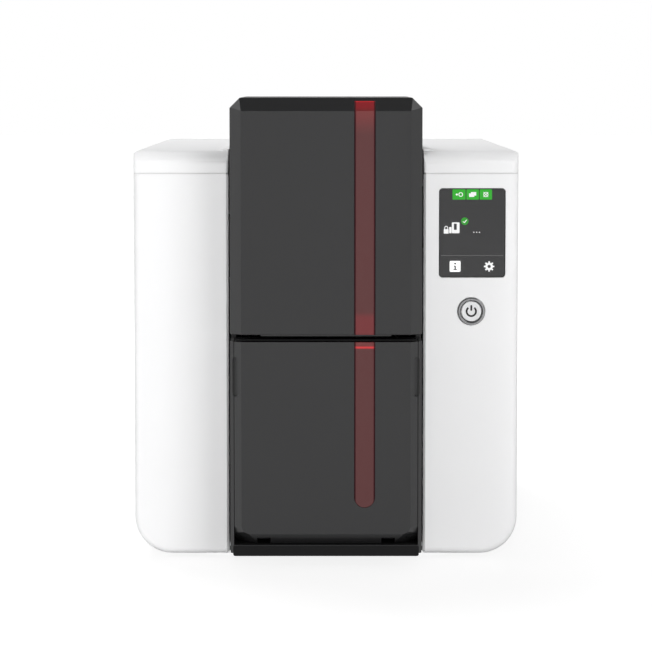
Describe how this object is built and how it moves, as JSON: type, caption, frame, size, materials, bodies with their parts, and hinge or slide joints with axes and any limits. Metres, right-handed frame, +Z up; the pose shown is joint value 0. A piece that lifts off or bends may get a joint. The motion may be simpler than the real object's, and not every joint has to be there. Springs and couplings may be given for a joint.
{
  "type": "id card printer",
  "caption": "Desktop printer for plastic cards: white housing with a hinged lid, black front tower with two folding doors, touch screen and power button.",
  "frame": {"origin": "centre of the bounding box at the surface that the printer stands on", "axes": "+X to the right seen from the front, +Y towards the back, +Z up"},
  "size_m": [0.205, 0.381, 0.247],
  "materials": {
    "white_plastic": "fine satin",
    "black_plastic": "fine spark-eroded grain",
    "red_window": "polished, smoked",
    "screen_glass": "polished",
    "dark_plastic": "moulded",
    "grey_plastic": "moulded",
    "button_plastic": "satin",
    "steel": "zinc plated",
    "aluminium": "extruded",
    "ring_metal": "dark anodised",
    "rubber": "ground",
    "circuit_board": "solder mask",
    "film": "thin film",
    "belt_rubber": "moulded"
  },
  "bodies": {
    "root": {"base_plate": "steel", "card_guide": "grey_plastic", "drive_belt": "belt_rubber", "drive_motor": "steel", "ethernet_socket": "steel", "fan_frame": "dark_plastic", "feeder_hinge_pins": "steel", "feeder_hopper": "dark_plastic", "frame_left": "steel", "frame_right": "steel", "left_cover": "white_plastic", "lid_hinge_pins": "steel", "main_board": "circuit_board", "output_hinge_pins": "steel", "output_tray": "dark_plastic", "panel_board": "circuit_board", "power_ring": "ring_metal", "power_socket": "dark_plastic", "rear_panel": "grey_plastic", "rear_screws": "steel", "ribbon_film": "film", "right_cover": "white_plastic", "roller_bushes": "grey_plastic", "rubber_feet": "rubber", "screen_glass": "screen_glass", "screen_module": "dark_plastic", "tower_frame": "black_plastic", "usb_socket": "dark_plastic"},
    "lid": {"lid_shell": "white_plastic", "head_bracket": "steel", "print_head": "dark_plastic", "head_heatsink": "aluminium"},
    "feeder_door": {"feeder_door": "black_plastic", "feeder_window": "red_window"},
    "output_door": {"output_door": "black_plastic", "output_window": "red_window"},
    "card_weight": {"card_weight": "dark_plastic"},
    "gauge": {"gauge_slider": "grey_plastic"},
    "power_button": {"power_button": "button_plastic"},
    "pick": {"pick_shaft": "steel", "pick_roller": "rubber", "pick_pulley": "grey_plastic"},
    "feed": {"feed_shaft": "steel", "feed_roller": "rubber", "feed_pulley": "grey_plastic"},
    "platen": {"platen_shaft": "steel", "platen_roller": "rubber", "platen_pulley": "grey_plastic", "platen_gear": "grey_plastic"},
    "exit": {"exit_shaft": "steel", "exit_roller": "rubber", "exit_pulley": "grey_plastic"},
    "motor": {"motor_pinion": "grey_plastic", "motor_shaft": "steel"},
    "pinch": {"pinch_roller": "rubber"},
    "cleaner": {"cleaning_roller": "rubber"},
    "supply": {"supply_spool": "grey_plastic"},
    "takeup": {"takeup_spool": "grey_plastic"},
    "fan": {"fan_rotor": "dark_plastic"}
  },
  "joints": [
    {"name": "lid_hinge", "type": "hinge", "parent": "root", "child": "lid", "pos_m": [0, 0.163, 0.2127], "axis": [-1, 0, 0], "range_deg": [0, 75]},
    {"name": "feeder_hinge", "type": "hinge", "parent": "root", "child": "feeder_door", "pos_m": [0, -0.1845, 0.1304], "axis": [1, 0, 0], "range_deg": [0, 85]},
    {"name": "output_hinge", "type": "hinge", "parent": "root", "child": "output_door", "pos_m": [0, -0.1845, 0.0203], "axis": [1, 0, 0], "range_deg": [0, 85]},
    {"name": "weight_slide", "type": "slide", "parent": "root", "child": "card_weight", "axis": [0, 0, 1], "range_m": [0, 0.07]},
    {"name": "gauge_slide", "type": "slide", "parent": "root", "child": "gauge", "axis": [0, 0, 1], "range_m": [-0.008, 0.022]},
    {"name": "button_press", "type": "slide", "parent": "root", "child": "power_button", "axis": [0, 1, 0], "range_m": [0, 0.0015], "stiffness_N_per_m": 400, "springref_m": -0.001},
    {"name": "platen_turn", "type": "hinge", "parent": "root", "child": "platen", "pos_m": [0, -0.0006, 0.117], "axis": [1, 0, 0], "continuous": true},
    {"name": "pick_turn", "type": "hinge", "parent": "root", "child": "pick", "pos_m": [0, -0.104, 0.117], "axis": [1, 0, 0], "continuous": true},
    {"name": "feed_turn", "type": "hinge", "parent": "root", "child": "feed", "pos_m": [0, -0.05, 0.117], "axis": [1, 0, 0], "continuous": true},
    {"name": "exit_turn", "type": "hinge", "parent": "root", "child": "exit", "pos_m": [0, 0.05959, 0.117], "axis": [1, 0, 0], "continuous": true},
    {"name": "motor_turn", "type": "hinge", "parent": "root", "child": "motor", "pos_m": [0, -0.0006, 0.087], "axis": [1, 0, 0], "continuous": true},
    {"name": "pinch_turn", "type": "hinge", "parent": "root", "child": "pinch", "pos_m": [0, -0.05, 0.1299], "axis": [1, 0, 0], "continuous": true},
    {"name": "cleaner_turn", "type": "hinge", "parent": "root", "child": "cleaner", "pos_m": [0, -0.03024, 0.1299], "axis": [1, 0, 0], "continuous": true},
    {"name": "takeup_turn", "type": "hinge", "parent": "root", "child": "takeup", "pos_m": [0, 0.0621, 0.155], "axis": [1, 0, 0], "continuous": true},
    {"name": "supply_turn", "type": "hinge", "parent": "root", "child": "supply", "pos_m": [0, -0.043, 0.158], "axis": [1, 0, 0], "continuous": true},
    {"name": "fan_turn", "type": "hinge", "parent": "root", "child": "fan", "pos_m": [-0.058, 0, 0.15], "axis": [0, 1, 0], "continuous": true}
  ],
  "couplings": [
    {"joint": "pick_turn", "follows": "platen_turn", "ratio": 1},
    {"joint": "feed_turn", "follows": "platen_turn", "ratio": 1},
    {"joint": "exit_turn", "follows": "platen_turn", "ratio": 1},
    {"joint": "motor_turn", "follows": "platen_turn", "ratio": -3},
    {"joint": "pinch_turn", "follows": "platen_turn", "ratio": -1.4},
    {"joint": "cleaner_turn", "follows": "platen_turn", "ratio": -1.4},
    {"joint": "supply_turn", "follows": "takeup_turn", "ratio": 0.8485}
  ]
}
